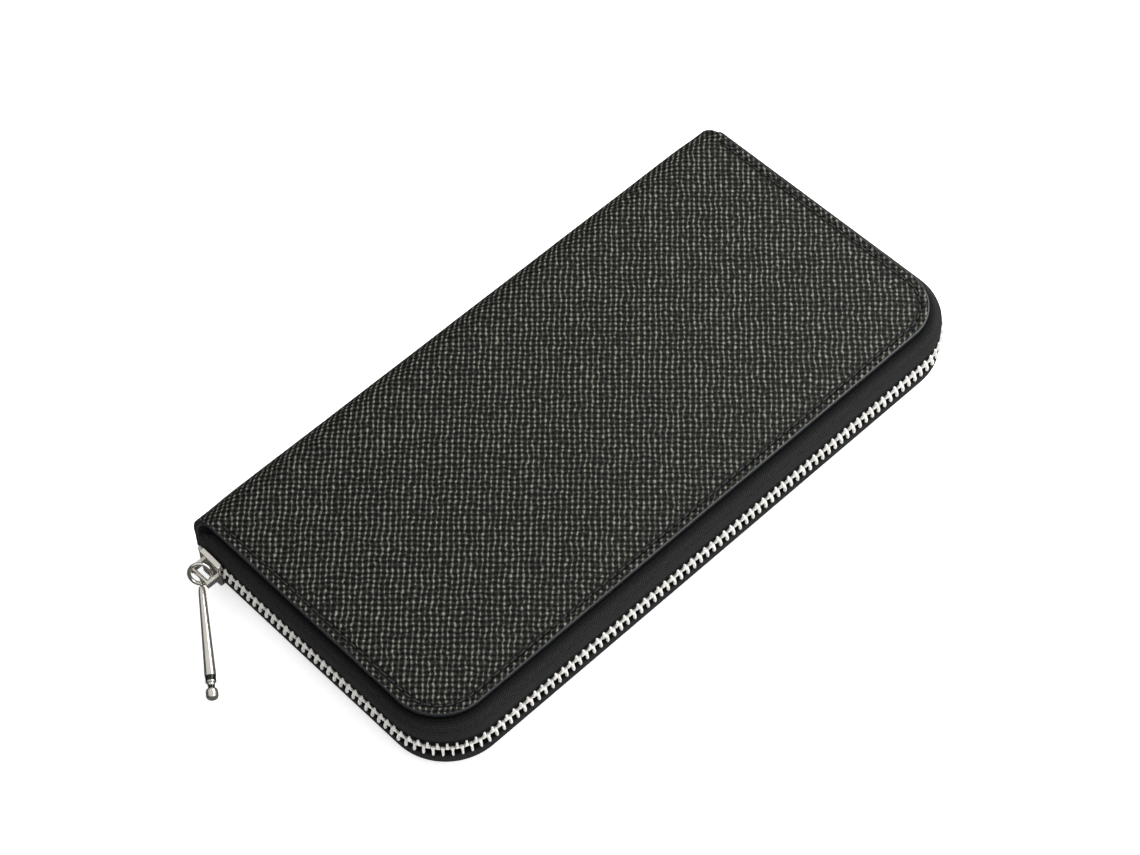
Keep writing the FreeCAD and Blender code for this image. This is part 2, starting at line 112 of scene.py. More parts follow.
def finished_piece(name, mesh, finishes, sharp):
    """Object at the origin with its finishes, smooth faces and creases above the sharp angle."""
    for finish in finishes:
        mesh.materials.append(finish)
    mesh.polygons.foreach_set("use_smooth", np.ones(len(mesh.polygons), bool))
    mesh.set_sharp_from_angle(angle=math.radians(sharp))
    piece = bpy.data.objects.new(name, mesh)
    bpy.context.scene.collection.objects.link(piece)
    return piece


def grid_piece(name, points, finishes, row_finish=None, place=None, wrap_rows=False, wrap_columns=False,
               sharp=50):
    """Piece from a rows x columns grid of points in millimetres, a quad between each four neighbours.

    Doubled points are merged, open ends are closed with flat faces and all faces turn outwards.
    place is the pattern's own coordinate at each point.
    """
    rows, columns = points.shape[:2]
    index = np.arange(rows * columns).reshape(rows, columns)
    index = np.vstack([index, index[:1]]) if wrap_rows else index
    index = np.hstack([index, index[:, :1]]) if wrap_columns else index
    quads = np.stack([index[:-1, :-1], index[1:, :-1], index[1:, 1:], index[:-1, 1:]], axis=-1)
    mesh = bpy.data.meshes.new(name)
    mesh.from_pydata((points.reshape(-1, 3) * mm).tolist(), [], quads.reshape(-1, 4).tolist())
    if row_finish is not None:
        slots = np.repeat(row_finish[:quads.shape[0]], quads.shape[1])
        mesh.polygons.foreach_set("material_index", slots.astype(np.int32))
    if place is not None:
        laid = mesh.attributes.new("laid_place", "FLOAT_VECTOR", "POINT")
        laid.data.foreach_set("vector", place.reshape(-1).astype(np.float32))
    shape = bmesh.new()
    shape.from_mesh(mesh)
    bmesh.ops.remove_doubles(shape, verts=shape.verts, dist=1e-7)
    bmesh.ops.dissolve_degenerate(shape, edges=shape.edges, dist=1e-7)
    bmesh.ops.holes_fill(shape, edges=[edge for edge in shape.edges if edge.is_boundary], sides=0)
    bmesh.ops.recalc_face_normals(shape, faces=shape.faces)
    shape.to_mesh(mesh)
    shape.free()
    return finished_piece(name, mesh, finishes, sharp)


def add_node(tree, kind, inputs=None, **settings):
    """Shader node with its settings; each input is a value or another node's output."""
    made = tree.nodes.new("ShaderNode" + kind)
    for setting, value in settings.items():
        setattr(made, setting, value)
    for place, value in (inputs or {}).items():
        if isinstance(value, bpy.types.NodeSocket):
            tree.links.new(value, made.inputs[place])
        else:
            made.inputs[place].default_value = value
    return made


def calc(tree, operation, *values):
    """Output of a Math node."""
    return add_node(tree, "Math", dict(enumerate(values)), operation=operation).outputs[0]


def blended(tree, share, low, high):
    """Output of a linear blend between two colours by a share."""
    mix = add_node(tree, "Mix", {0: share}, data_type="RGBA")
    for place, value in ((6, low), (7, high)):
        if isinstance(value, bpy.types.NodeSocket):
            tree.links.new(value, mix.inputs[place])
        else:
            mix.inputs[place].default_value = (*value, 1)
    return mix.outputs[2]


def ramped(tree, value, low, high, to_low=0.0, to_high=1.0):
    """Output of a clamped linear map of a value."""
    inputs = {0: value, 1: low, 2: high, 3: to_low, 4: to_high}
    return add_node(tree, "MapRange", inputs).outputs[0]


def new_finish(name, roughness, metallic=0.0, specular=0.5, **extra):
    """Material with a Principled shader; returns it with its tree and shader."""
    finish = bpy.data.materials.new(name)
    finish.use_nodes = True
    shader = finish.node_tree.nodes["Principled BSDF"]
    shader.inputs["Metallic"].default_value = metallic
    shader.inputs["Roughness"].default_value = roughness
    shader.inputs["Specular IOR Level"].default_value = specular
    for socket, value in extra.items():
        shader.inputs[socket.replace("_", " ")].default_value = value
    return finish, finish.node_tree, shader


def join_up(tree, shader, colour=None, height=None, bump_distance=0.0001, strength=1.0, roughness=None):
    """Links a colour, a bump height and a roughness to the shader."""
    if colour is not None:
        tree.links.new(colour, shader.inputs["Base Color"])
    if roughness is not None:
        tree.links.new(roughness, shader.inputs["Roughness"])
    if height is not None:
        bump = add_node(tree, "Bump", {"Strength": strength, "Distance": bump_distance, "Height": height})
        tree.links.new(bump.outputs[0], shader.inputs["Normal"])


def embossed_leather():
    """Two families of pressed lines at 45 degrees to the edges, crossing in rows of small pips.

    Each family is a sine of the distance across it. One family's ridges are notched by the other's
    into pips, deeply in some patches and lightly in others, and noise bends the lines a little.
    The colour holds painted light: the top of each pip is painted lighter as a highlight, and the
    hollows where the lines cross and the sewing channel by the stitches are painted near black as shade.
    """
    finish, tree, shader = new_finish("embossed_leather", 0.4, specular=0.08)
    laid = add_node(tree, "Attribute", attribute_name="laid_place").outputs["Vector"]
    bend = add_node(tree, "TexNoise", {"Vector": laid, "Scale": 0.19, "Detail": 3.0, "Roughness": 0.66})
    bends = add_node(tree, "SeparateColor", {0: bend.outputs["Color"]})
    flat = add_node(tree, "SeparateXYZ", {0: laid})
    rows = []
    for sign, pitch, place in ((1, 1.57, 0), (-1, 1.66, 1)):
        across = calc(tree, "MULTIPLY_ADD", flat.outputs[1], float(sign), flat.outputs[0])
        across = calc(tree, "MULTIPLY", across, math.sqrt(0.5) / pitch)
        shifted = calc(tree, "MULTIPLY_ADD", bends.outputs[place], 1.3, across)
        wave = calc(tree, "SINE", calc(tree, "MULTIPLY", shifted, 2 * math.pi))
        rows.append(calc(tree, "MULTIPLY_ADD", wave, 0.5, 0.5))
    patch = add_node(tree, "TexNoise", {"Vector": laid, "Scale": 0.16, "Detail": 2.0})
    notch = ramped(tree, patch.outputs[0], 0.42, 0.6, 1.0, 0.78)
    between = calc(tree, "SUBTRACT", 1.0, rows[1])
    notched = calc(tree, "SUBTRACT", 1.0, calc(tree, "MULTIPLY", notch, between))
    shares = calc(tree, "MULTIPLY", calc(tree, "POWER", rows[0], 2.8), notched)
    low = calc(tree, "MULTIPLY", calc(tree, "SUBTRACT", 1.0, rows[0]), between)
    # painted shade: the hollows where the lines cross are painted near black
    pit_shade = ramped(tree, low, 0.1, 0.45)
    grain = add_node(tree, "TexNoise", {"Vector": laid, "Scale": 2.6, "Detail": 3.0, "Roughness": 0.65})
    height = calc(tree, "MULTIPLY_ADD", grain.outputs[0], 0.35, shares)
    size = add_node(tree, "TexNoise", {"Vector": laid, "Scale": 0.62, "Detail": 1.0})
    # painted highlight: how much lighter the top of each pip is painted, varying from pip to pip
    lit = calc(tree, "MULTIPLY", shares, ramped(tree, size.outputs[0], 0.3, 0.7, 0.2, 1.5))
    lit = calc(tree, "MULTIPLY", lit, ramped(tree, grain.outputs[0], 0.35, 0.65, 0.65, 1.35))
    off_seam = calc(tree, "ABSOLUTE", calc(tree, "SUBTRACT", flat.outputs[2], stitch_inset))
    # painted shade: a narrow band along the stitch line, in the sewing channel, is painted near black
    pressed = ramped(tree, off_seam, 0.35, 0.95, 0.1, 1.0)
    # painted highlight on the top of each pip, none along the sewing channel
    pip_highlight = calc(tree, "MULTIPLY", ramped(tree, lit, 0.12, 1.0), pressed)
    # painted shade from the hollows and from the sewing channel, whichever is darker
    dark = calc(tree, "MAXIMUM", pit_shade, calc(tree, "SUBTRACT", 1.0, pressed))
    # the leather's own near-black, darkened to almost black by the painted shade in the hollows and the
    # sewing channel
    leather_and_pit_shade = blended(tree, dark, (0.019, 0.0195, 0.0165), (0.0008, 0.0009, 0.0007))
    colour = blended(tree, pip_highlight, leather_and_pit_shade, (0.215, 0.22, 0.182))
    gloss = ramped(tree, shares, 0.1, 0.9, 0.55, 0.38)
    join_up(tree, shader, colour, height, 0.00025, 1.0, gloss)
    return finish


def edge_paint():
    """Smooth rubbery black edge paint with a slightly uneven film."""
    finish, tree, shader = new_finish("edge_paint", 0.34, specular=0.35)
    where = add_node(tree, "TexCoord").outputs["Object"]
    film = add_node(tree, "TexNoise", {"Vector": where, "Scale": 900.0})
    colour = blended(tree, film.outputs[0], (0.009, 0.0105, 0.012), (0.022, 0.025, 0.028))
    join_up(tree, shader, colour, film.outputs[0], 0.00004, 0.6)
    return finish


def smooth_leather():
    """Satin lining leather: small pebbles with fine creases between, and slow shade changes."""
    finish, tree, shader = new_finish("smooth_leather", 0.5, specular=0.3)
    where = add_node(tree, "TexCoord").outputs["Object"]
    pebble = add_node(tree, "TexVoronoi", {"Vector": where, "Scale": 1400.0}, feature="F1")
    shade = add_node(tree, "TexNoise", {"Vector": where, "Scale": 60.0, "Detail": 3.0})
    height = ramped(tree, pebble.outputs[0], 0.0, 0.7, 1.0, 0.0)
    low = blended(tree, shade.outputs[0], (0.022, 0.022, 0.0215), (0.042, 0.041, 0.0395))
    colour = blended(tree, height, low, (0.07, 0.0685, 0.066))
    join_up(tree, shader, colour, height, 0.00008, 0.6, ramped(tree, shade.outputs[0], 0.3, 0.7, 0.42, 0.58))
    return finish


hide_finish = embossed_leather()
paint_finish = edge_paint()
lining_finish = smooth_leather()


def hide_half(name, upper):
    """Half of the hide from the middle of the spine over one cover, as a closed shell.

    Rows are rings at one inset from the three edges; each ring runs from the spine's middle line over
    the round, down one side, round the front and back up. Columns cross the rings. The outer face has
    a sewing channel with a dip at each stitch hole, a low crown and a slightly uneven surface.
    """
    even_in = 8.0  # rings up to here keep an even distance from the three edges
    last_in = 88.0
    crown_in = 4.4
    channel = 0.42 * np.linspace(-2.6, 2.6, 13)[::-1] + stitch_inset
    crown_rings = crown_in + (last_in - crown_in) * np.linspace(1, 0, 20) ** 1.7
    edge_turn = np.radians(np.linspace(90, 0, 5))
    edge_radius = 0.45
    edge_in = edge_radius * (1 - np.cos(edge_turn))
    edge_down = edge_radius * (1 - np.sin(edge_turn))
    under_in = np.array([0.5, 4, even_in, 30, 60, last_in])
    inset = np.concatenate([crown_rings, channel, [0.9], edge_in, edge_in[::-1], under_in])
    depth = np.concatenate([np.zeros(len(crown_rings) + len(channel) + 1), edge_down,
                            hide_thickness - edge_down[::-1], np.full(len(under_in), hide_thickness)])
    outer_rows = len(crown_rings) + len(channel) + 2
    sewn = stretch_lengths(half_length - stitch_inset, front_y + stitch_inset, corner_radius - stitch_inset,
                           spine_y)
    shares = even_shares(0.75, sewn)
    arc = math.pi / 2 * np.linspace(0, 1, 26)[:-1] ** 1.5
    share = np.concatenate([np.zeros(len(arc)), shares, np.full(len(arc), 5.0)])
    turn = np.concatenate([arc, np.full(len(shares), math.pi / 2), arc[::-1]])

    ring_in = inset[:, None]
    to_last = last_in - even_in
    side_in = np.where(ring_in < even_in, ring_in,
                       even_in + (ring_in - even_in) * (half_length - even_in) / to_last)
    radius = np.where(ring_in < even_in, corner_radius - ring_in,
                      (corner_radius - even_in) * (last_in - ring_in) / to_last)
    x, y, _ = round_three_sides(share[None, :], half_length - side_in, front_y + ring_in, radius, spine_y)
    laid_y = np.where(turn < math.pi / 2, spine_radius * turn, spine_radius * math.pi / 2 + spine_y - y)

    walked = np.interp(share, np.arange(6), np.concatenate([[0], np.cumsum(sewn)]))
    at_hole = 0.5 + 0.5 * np.cos(2 * math.pi * (walked - stitch_pitch) / stitch_pitch)
    on_cover = np.where(turn < math.pi / 2, 0.0, 1.0)[None, :]
    groove = 0.26 + 0.16 * (1 - at_hole[None, :])
    groove = groove * np.exp(-((ring_in - stitch_inset) / 0.5) ** 2) * on_cover
    crown = 0.28 * eased_step(ring_in, 3.2, 13)
    uneven = 0.05 * np.sin(x / 15 + 0.8) * np.cos(laid_y / 11 + 0.5) + 0.035 * np.sin(x / 6.1 + laid_y / 7.3)
    uneven = uneven * eased_step(ring_in, 0.5, 9) * eased_step(laid_y, 0, 12)
    # the half that lies on the table is pressed flat
    lift = 1.0 if upper else 1 - eased_step(laid_y, 2, 13)
    raised = np.where(np.arange(len(inset))[:, None] < outer_rows, (crown + uneven) * lift - groove, 0)
    out = spine_radius - depth[:, None] + raised
    y = np.where(turn < math.pi / 2, spine_y + out * np.cos(turn), y)
    z = mid_z + out * np.sin(turn)

    side = 1 if upper else -1
    points = np.stack([x, y, mid_z + side * (z - mid_z)], axis=-1)
    from_edge = np.where(turn < math.pi / 2, even_in, np.minimum(ring_in, even_in))
    place = np.stack([x, side * laid_y, from_edge], axis=-1)
    row_finish = np.zeros(len(inset))
    row_finish[outer_rows - 1:] = 1
    row_finish[-len(under_in):] = 2
    return grid_piece(name, points, [hide_finish, paint_finish, lining_finish], row_finish, place, sharp=50)


front_hide = hide_half("front_hide", True)
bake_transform(front_hide)
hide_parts("front_cover_leather", "spine_leather")

back_hide = hide_half("back_hide", False)
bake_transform(back_hide)
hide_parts("back_cover_leather")

# ---------------------------------------------------------------------------
# Stitching. Waxed black thread, three millimetres to the stitch, lying in the hide's channel
# round three sides of each cover. The same stitches show inside, on the lining.
# ---------------------------------------------------------------------------


def waxed_thread():
    """Black thread with a fine slanting twist."""
    finish, tree, shader = new_finish("waxed_thread", 0.45, specular=0.25)
    where = add_node(tree, "TexCoord").outputs["Object"]
    twist = add_node(tree, "TexWave", {"Vector": where, "Scale": 1500.0, "Distortion": 1.0},
                     bands_direction="DIAGONAL")
    colour = blended(tree, twist.outputs["Fac"], (0.006, 0.006, 0.006), (0.035, 0.035, 0.034))
    join_up(tree, shader, colour, twist.outputs["Fac"], 0.00006, 0.7)
    return finish


def lofted(levels, widths, depths, sides=8):
    """Stack of rounded rectangles along one axis, as points and faces.

    Each level is a superellipse of its own width and depth at its own height.
    """
    turn = (np.arange(sides) + 0.5) * 2 * math.pi / sides
    across = np.sign(np.cos(turn)) * np.abs(np.cos(turn)) ** 0.55
    deep = np.sign(np.sin(turn)) * np.abs(np.sin(turn)) ** 0.55
    x = np.asarray(widths)[:, None] / 2 * across
    y = np.asarray(depths)[:, None] / 2 * deep
    z = np.repeat(np.asarray(levels, float)[:, None], sides, axis=1)
    points = np.stack([x, y, z], axis=-1).reshape(-1, 3)
    index = np.arange(len(levels) * sides).reshape(-1, sides)
    after = np.roll(index, -1, axis=1)
    walls = np.stack([index[:-1], after[:-1], after[1:], index[1:]], axis=-1).reshape(-1, 4)
    faces = walls.tolist() + [index[0][::-1].tolist(), index[-1].tolist()]
    return points, faces


def repeated_piece(name, shape, x, y, z, heading, finish, flip=False, sharp=50):
    """One piece holding a small shape at many places, each turned to its heading about the vertical.

    flip turns the shape upside down first, by half a turn about its own length.
    """
    points, faces = shape
    if flip:
        points = points * (1, -1, -1)
    cos, sin = np.cos(heading)[:, None], np.sin(heading)[:, None]
    px = x[:, None] + points[:, 0] * cos - points[:, 1] * sin
    py = y[:, None] + points[:, 0] * sin + points[:, 1] * cos
    pz = np.broadcast_to(z, x.shape)[:, None] + points[:, 2]
    everywhere = np.stack([px, py, pz], axis=-1).reshape(-1, 3) * mm
    mesh = bpy.data.meshes.new(name)
    count = len(points)
    copies = [[corner + copy * count for corner in face] for copy in range(len(x)) for face in faces]
    mesh.from_pydata(everywhere.tolist(), [], copies)
    return finished_piece(name, mesh, [finish], sharp)


thread_finish = waxed_thread()
stitch_round = np.array([0.16, 0.42, 0.5, 0.5, 0.42, 0.16])
stitch_shape = lofted(np.array([-1.15, -0.95, -0.5, 0.5, 0.95, 1.15]), stitch_round, stitch_round * 1.05, 6)
# laid down along its heading with a slight slant
stitch_points = stitch_shape[0][:, [2, 0, 1]]
stitch_points[:, 1] += 0.07 * stitch_points[:, 0]
stitch_shape = (stitch_points, stitch_shape[1])


def sewn_round(name, z, finish, body, replaced=None):
    """Row of stitches round three sides of a cover at one height."""
    end_y = spine_y - stitch_pitch / 2
    half_x, low_y, radius = half_length - stitch_inset, front_y + stitch_inset, corner_radius - stitch_inset
    lengths = stretch_lengths(half_x, low_y, radius, end_y)
    distance = np.arange(0, lengths.sum(), stitch_pitch)
    x, y, turn = round_three_sides(share_at(distance, lengths), half_x, low_y, radius, end_y)
    piece = repeated_piece(name, stitch_shape, x, y, z, turn - math.pi / 2, finish)
    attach(piece, body)
    if replaced:
        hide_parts(replaced)


sewn_round("front_stitches", thickness - 0.16, thread_finish, "front_cover", "front_cover_stitching")
sewn_round("back_stitches", 0.26, thread_finish, "back_cover", "back_cover_stitching")

# ---------------------------------------------------------------------------
# Zip tapes. Two strips of black woven tape, glued between hide and lining round three sides.
# Each slants out from the cover's edge and stands upright to carry its row of teeth.
# ---------------------------------------------------------------------------
chain_out_side = 2.6
chain_out_front = 3.8
chain_x = half_length + chain_out_side
chain_y = front_y - chain_out_front
chain_radius = corner_radius + chain_out_side
tape_end_y = 44.0
flange_end_y = 37.5


def woven_tape():
    """Fine herringbone weave: slanted ribs that change direction in narrow stripes along the tape. The tape
    is painted darker in a band just below the hide's edge, a painted shadow, and near black by the teeth, a
    painted shade.
    """
    finish, tree, shader = new_finish("zip_tape", 0.9, specular=0.04, Sheen_Weight=0.01)
    laid = add_node(tree, "Attribute", attribute_name="laid_place").outputs["Vector"]
    flat = add_node(tree, "SeparateXYZ", {0: laid})
    stripe = calc(tree, "PINGPONG", flat.outputs[1], 1.1)
    slanted = calc(tree, "MULTIPLY_ADD", stripe, 1.0, flat.outputs[0])
    rib = calc(tree, "SINE", calc(tree, "MULTIPLY", slanted, 2 * math.pi / 0.62))
    weft = calc(tree, "SINE", calc(tree, "MULTIPLY", flat.outputs[1], 2 * math.pi / 0.4))
    weave = calc(tree, "MULTIPLY_ADD", weft, 0.18, calc(tree, "MULTIPLY_ADD", rib, 0.35, 0.5))
    fuzz = add_node(tree, "TexNoise", {"Vector": laid, "Scale": 1.7, "Detail": 3.0})
    height = calc(tree, "MULTIPLY_ADD", fuzz.outputs[0], 0.5, weave)
    shade = ramped(tree, calc(tree, "MULTIPLY_ADD", fuzz.outputs[0], 0.8, weave), 0.3, 1.6)
    # painted shadow: a dark band on the tape just below the hide's edge
    shadow_below_hide = ramped(tree, flat.outputs[1], 5.6, 7.2)
    # painted shade: the tape is painted near black where it runs beside and under the teeth
    shade_by_teeth = ramped(tree, flat.outputs[1], 11.2, 12.6, 1.0, 0.0)
    # the weave's own tone, darkened by the painted shadow and shade
    shade = calc(tree, "MULTIPLY", shade, calc(tree, "MULTIPLY", shadow_below_hide, shade_by_teeth))
    colour = blended(tree, shade, (0.0015, 0.0016, 0.0017), (0.036, 0.0364, 0.0367))
    join_up(tree, shader, colour, height, 0.00009, 0.8)
    return finish


tape_finish = woven_tape()


def eased_line(corners, cut):
    """Open line through corner points, each inner corner replaced by a three-point bend."""
    corners = np.asarray(corners, float)
    before = corners[:-2] - corners[1:-1]
    after = corners[2:] - corners[1:-1]
    long_before = np.linalg.norm(before, axis=1, keepdims=True)
    long_after = np.linalg.norm(after, axis=1, keepdims=True)
    first = corners[1:-1] + before / long_before * np.minimum(cut, long_before * 0.45)
    last = corners[1:-1] + after / long_after * np.minimum(cut, long_after * 0.45)
    middle = (first + last + 2 * corners[1:-1]) / 4
    bends = np.stack([first, middle, last], axis=1).reshape(-1, corners.shape[1])
    return np.vstack([corners[:1], bends, corners[-1:]])


def thick_line(line, sheet):
    """Closed outline of a line given a thickness: one side forwards, then the other side back.

    Each point moves along the direction at right angles to the line there, and the two ends get a
    middle point so that they are rounded.
    """
    along = np.gradient(line, axis=0)
    along = along / np.linalg.norm(along, axis=1, keepdims=True)
    out = np.stack([-along[:, 1], along[:, 0]], axis=1) * sheet / 2
    tip = along[-1:] * sheet * 0.35 + line[-1:]
    tail = line[:1] - along[:1] * sheet * 0.35
    return np.vstack([line + out, tip, (line - out)[::-1], tail])


def zip_tape(name, upper, body, replaced):
    """Half tape carried round three sides: the section's corners are (share of the way out, height).

    The side walls stand less far out than the front one, so the way out is scaled on each.
    The two ends are rounded by narrowing the standing part.
    """
    glued, lip, stand = -6.2, -0.45, 0.9
    foot_z, tape_top_z, round_end = 1.45, 9.4, 6.2
    corners = [(glued, foot_z), (lip, foot_z), (stand, 4.5), (stand, 6.9), (stand, tape_top_z)]
    section = thick_line(eased_line(corners, 0.9), 0.5)
    reach, z = section[:, 0], section[:, 1]

    def way_out(chain_out):
        """Lip plus a share of the way to the chain; the upright part keeps the sheet's thickness."""
        share_out = np.clip((reach - lip) / (stand - lip), 0, None)
        scaled = np.where(reach < lip, reach, lip + share_out * (chain_out - lip))
        return np.where(reach > 0.6, chain_out + (reach - stand), scaled)

    side_out, front_out = way_out(chain_out_side), way_out(chain_out_front)
    end_y = flange_end_y + (tape_end_y - flange_end_y) * eased_step(z, 1.7, 4.6)
    lengths = stretch_lengths(chain_x, chain_y, chain_radius, tape_end_y)
    end_share = round_end / lengths[0]
    ends = end_share * (1 - np.cos(np.linspace(0, math.pi / 2, 12)))
    shares = even_shares(3.0, lengths, 1.2)
    shares = shares[(shares > end_share + 0.01) & (shares < 4.99 - end_share)]
    shares = np.concatenate([ends, shares, 5 - ends[::-1]])
    x, y, _ = round_three_sides(shares[None, :], half_length + side_out[:, None],
                                front_y - front_out[:, None], (corner_radius + side_out)[:, None],
                                end_y[:, None])
    from_end = np.minimum(shares, 5 - shares) / end_share
    narrow = np.sqrt(np.clip(1 - (1 - np.clip(from_end, 0, 1)) ** 2, 0.02, 1))[None, :]
    tall = z[:, None]
    tall = np.where(tall > 4.5, tape_top_z + (tall - tape_top_z) * narrow, tall)
    walked = np.interp(shares, np.arange(6), np.concatenate([[0], np.cumsum(lengths)]))
    up_section = np.concatenate([[0], np.cumsum(np.hypot(np.diff(reach), np.diff(z)))])
    half = len(section) // 2
    up_section = np.where(np.arange(len(section)) <= half, up_section, 2 * up_section[half] - up_section)
    place = np.stack(np.broadcast_arrays(walked[None, :], up_section[:, None], 0.0), axis=-1)
    z_now = tall if not upper else thickness - tall
    points = np.stack(np.broadcast_arrays(x, y, z_now), axis=-1)
    piece = grid_piece(name, points, [tape_finish], place=place, wrap_rows=True, sharp=60)
    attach(piece, body)
    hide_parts(replaced)


zip_tape("woven_tape_lower", False, "back_cover", "zip_tape_lower")
zip_tape("woven_tape_upper", True, "front_cover", "zip_tape_upper")

# ---------------------------------------------------------------------------
# Zip teeth. Nickel-plated brass teeth clamped on the edge of each tape, 2.5 mm apart, the
# upper row half a pitch on from the lower, so that their heads mesh along the middle.
# ---------------------------------------------------------------------------


def polished_nickel(name, roughness, dull, metallic, bright, filmed):
    """Bright nickel plate with faint wipe marks, a slow unevenness and a darker film in places."""
    finish, tree, shader = new_finish(name, roughness, metallic=metallic)
    where = add_node(tree, "TexCoord").outputs["Object"]
    film = add_node(tree, "TexNoise", {"Vector": where, "Scale": 350.0, "Detail": 3.0})
    marks = add_node(tree, "TexNoise", {"Vector": where, "Scale": 3000.0, "Detail": 2.0})
    colour = blended(tree, film.outputs[0], bright, filmed)
    rough = ramped(tree, film.outputs[0], 0.3, 0.7, roughness, roughness + dull)
    join_up(tree, shader, colour, marks.outputs[0], 0.00001, 0.5, rough)
    return finish


tooth_finish = polished_nickel("tooth_nickel", 0.28, 0.12, 0.2, (0.98, 0.965, 0.93), (0.86, 0.84, 0.8))
nickel_finish = polished_nickel("polished_nickel", 0.1, 0.08, 0.9, (0.88, 0.85, 0.79), (0.64, 0.61, 0.55))
tooth_pitch = 2.5
tooth_start_y = 38.15


def tooth_shape(width, depth, low, top):
    """One tooth standing on its tape: a thick deep leg, and a thin wide head that meets its neighbours."""
    rise = top - low
    levels = low + rise * np.array([0, 0.05, 0.16, 0.56, 0.68, 0.76, 0.95, 1.0])
    widths = width * np.array([0.6, 0.9, 1.0, 1.0, 1.1, 1.7, 1.7, 1.3])
    depths = depth * np.array([0.66, 0.9, 1.0, 1.0, 0.7, 0.42, 0.4, 0.26])
    return lofted(levels, widths, depths, 8)


def tooth_row(name, upper, body, replaced):
    """Row of teeth round three sides, from the slider to the bottom stop."""
    lengths = stretch_lengths(chain_x, chain_y, chain_radius, tooth_start_y)
    phase = tooth_pitch / 2 if upper else 0.0
    distance = np.arange(phase, lengths.sum(), tooth_pitch)
    x, y, turn = round_three_sides(share_at(distance, lengths), chain_x, chain_y, chain_radius,
                                   tooth_start_y)
    shape = tooth_shape(0.68, 2.0, 8.2 - mid_z, 0.42)
    piece = repeated_piece(name, shape, x, y, mid_z, turn - math.pi / 2 + (math.pi if upper else 0),
                           tooth_finish, flip=upper, sharp=40)
    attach(piece, body)
    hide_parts(replaced)


tooth_row("teeth_lower", False, "back_cover", "zip_teeth_lower")
tooth_row("teeth_upper", True, "front_cover", "zip_teeth_upper")

# ---------------------------------------------------------------------------
# Cast and pressed zip parts: stops, slider and crown. They are die-cast or bent from strip,
# so their corners are rounded, and then plated with the same nickel as the teeth.
# ---------------------------------------------------------------------------


def softened(node, name, body, width, finish, segments=3):
    """Copy of a CAD node with rounded corners: its points merged, its flat faces joined, then bevelled."""
    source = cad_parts[node].data
    places = np.zeros(len(source.vertices) * 3, np.float32)
    source.vertices.foreach_get("co", places)
    corners = np.zeros(len(source.loops), np.int32)
    source.loops.foreach_get("vertex_index", corners)
    mesh = bpy.data.meshes.new(name)
    mesh.from_pydata(places.reshape(-1, 3).tolist(), [], corners.reshape(-1, 3).tolist())
    shape = bmesh.new()
    shape.from_mesh(mesh)
    bmesh.ops.remove_doubles(shape, verts=shape.verts, dist=1e-6)
    bmesh.ops.dissolve_limit(shape, angle_limit=math.radians(1), verts=shape.verts, edges=shape.edges)
    shape.to_mesh(mesh)
    shape.free()
    piece = finished_piece(name, mesh, [finish], 40)
    bevel = piece.modifiers.new("rounded_corners", "BEVEL")
    bevel.width = width * mm
    bevel.segments = segments
    bevel.limit_method = "ANGLE"
    bevel.angle_limit = math.radians(35)
    bevel.harden_normals = False
    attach(piece, body)
    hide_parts(node)


softened("zip_top_stop_lower", "top_stop_lower", "back_cover", 0.2, tooth_finish, 2)
softened("zip_top_stop_upper", "top_stop_upper", "front_cover", 0.2, tooth_finish, 2)
softened("zip_bottom_stop", "bottom_stop", "back_cover", 0.2, tooth_finish, 2)
softened("slider_body", "slider_casting", "zip_slider", 0.3, nickel_finish)
softened("slider_crown", "slider_bridge", "zip_slider", 0.3, nickel_finish)

# ---------------------------------------------------------------------------
# Ring and pull. A round nickel ring hangs on the slider's bridge, and the turned pull hangs
# from it by an eye: a tapered bar with a groove, a thin neck, a collar and a bead at its end.
# ---------------------------------------------------------------------------
ring_low, ring_high = (np.array(corner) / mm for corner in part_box("pull_ring"))
ring_middle = (ring_low + ring_high) / 2
ring_normal = np.array([-0.66, -0.62, 0.42])
ring_normal = ring_normal / np.linalg.norm(ring_normal)
ring_up = np.array([0, 0, 1]) - ring_normal * ring_normal[2]
ring_up = ring_up / np.linalg.norm(ring_up)
ring_side = np.cross(ring_normal, ring_up)
ring_radius = 3.1
ring_wire = 1.1
eye_middle = ring_middle - ring_up * ring_radius
pull_length = 33.0
pull_bead_radius = 1.7
pull_heading = math.radians(234.0)
pull_drop = math.asin((eye_middle[2] - pull_bead_radius - 0.1) / pull_length)
pull_along = np.array([math.cos(pull_heading) * math.cos(pull_drop),
                       math.sin(pull_heading) * math.cos(pull_drop), -math.sin(pull_drop)])
pull_side = np.array([-math.sin(pull_heading), math.cos(pull_heading), 0])
pull_top = np.cross(pull_side, pull_along)


def wire_ring(middle, across, up, radius, wire, around=72, sides=20):
    """Ring of round wire: each place is the middle, plus the ring's radius, plus the wire's own circle."""
    turn = np.linspace(0, 2 * math.pi, around, endpoint=False)[:, None, None]
    roll = np.linspace(0, 2 * math.pi, sides, endpoint=False)[None, :, None]
    normal = np.cross(across, up)
    spoke = across * np.cos(turn) + up * np.sin(turn)
    return middle + spoke * (radius + wire / 2 * np.cos(roll)) + normal * wire / 2 * np.sin(roll)


ring = grid_piece("ring_of_wire", wire_ring(ring_middle, ring_side, ring_up, ring_radius, ring_wire),
                  [nickel_finish], wrap_rows=True, wrap_columns=True)
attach(ring, "pull_ring")
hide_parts("pull_ring")


def glossy_black_band():
    """Glossy black with a faint orange-peel surface, for the bands in the pull's grooves."""
    finish, tree, shader = new_finish("glossy_black_band", 0.22, specular=0.3)
    where = add_node(tree, "TexCoord").outputs["Object"]
    film = add_node(tree, "TexNoise", {"Vector": where, "Scale": 1800.0})
    colour = blended(tree, film.outputs[0], (0.004, 0.0037, 0.0034), (0.012, 0.011, 0.01))
    join_up(tree, shader, colour, film.outputs[0], 0.00002, 0.5)
    return finish


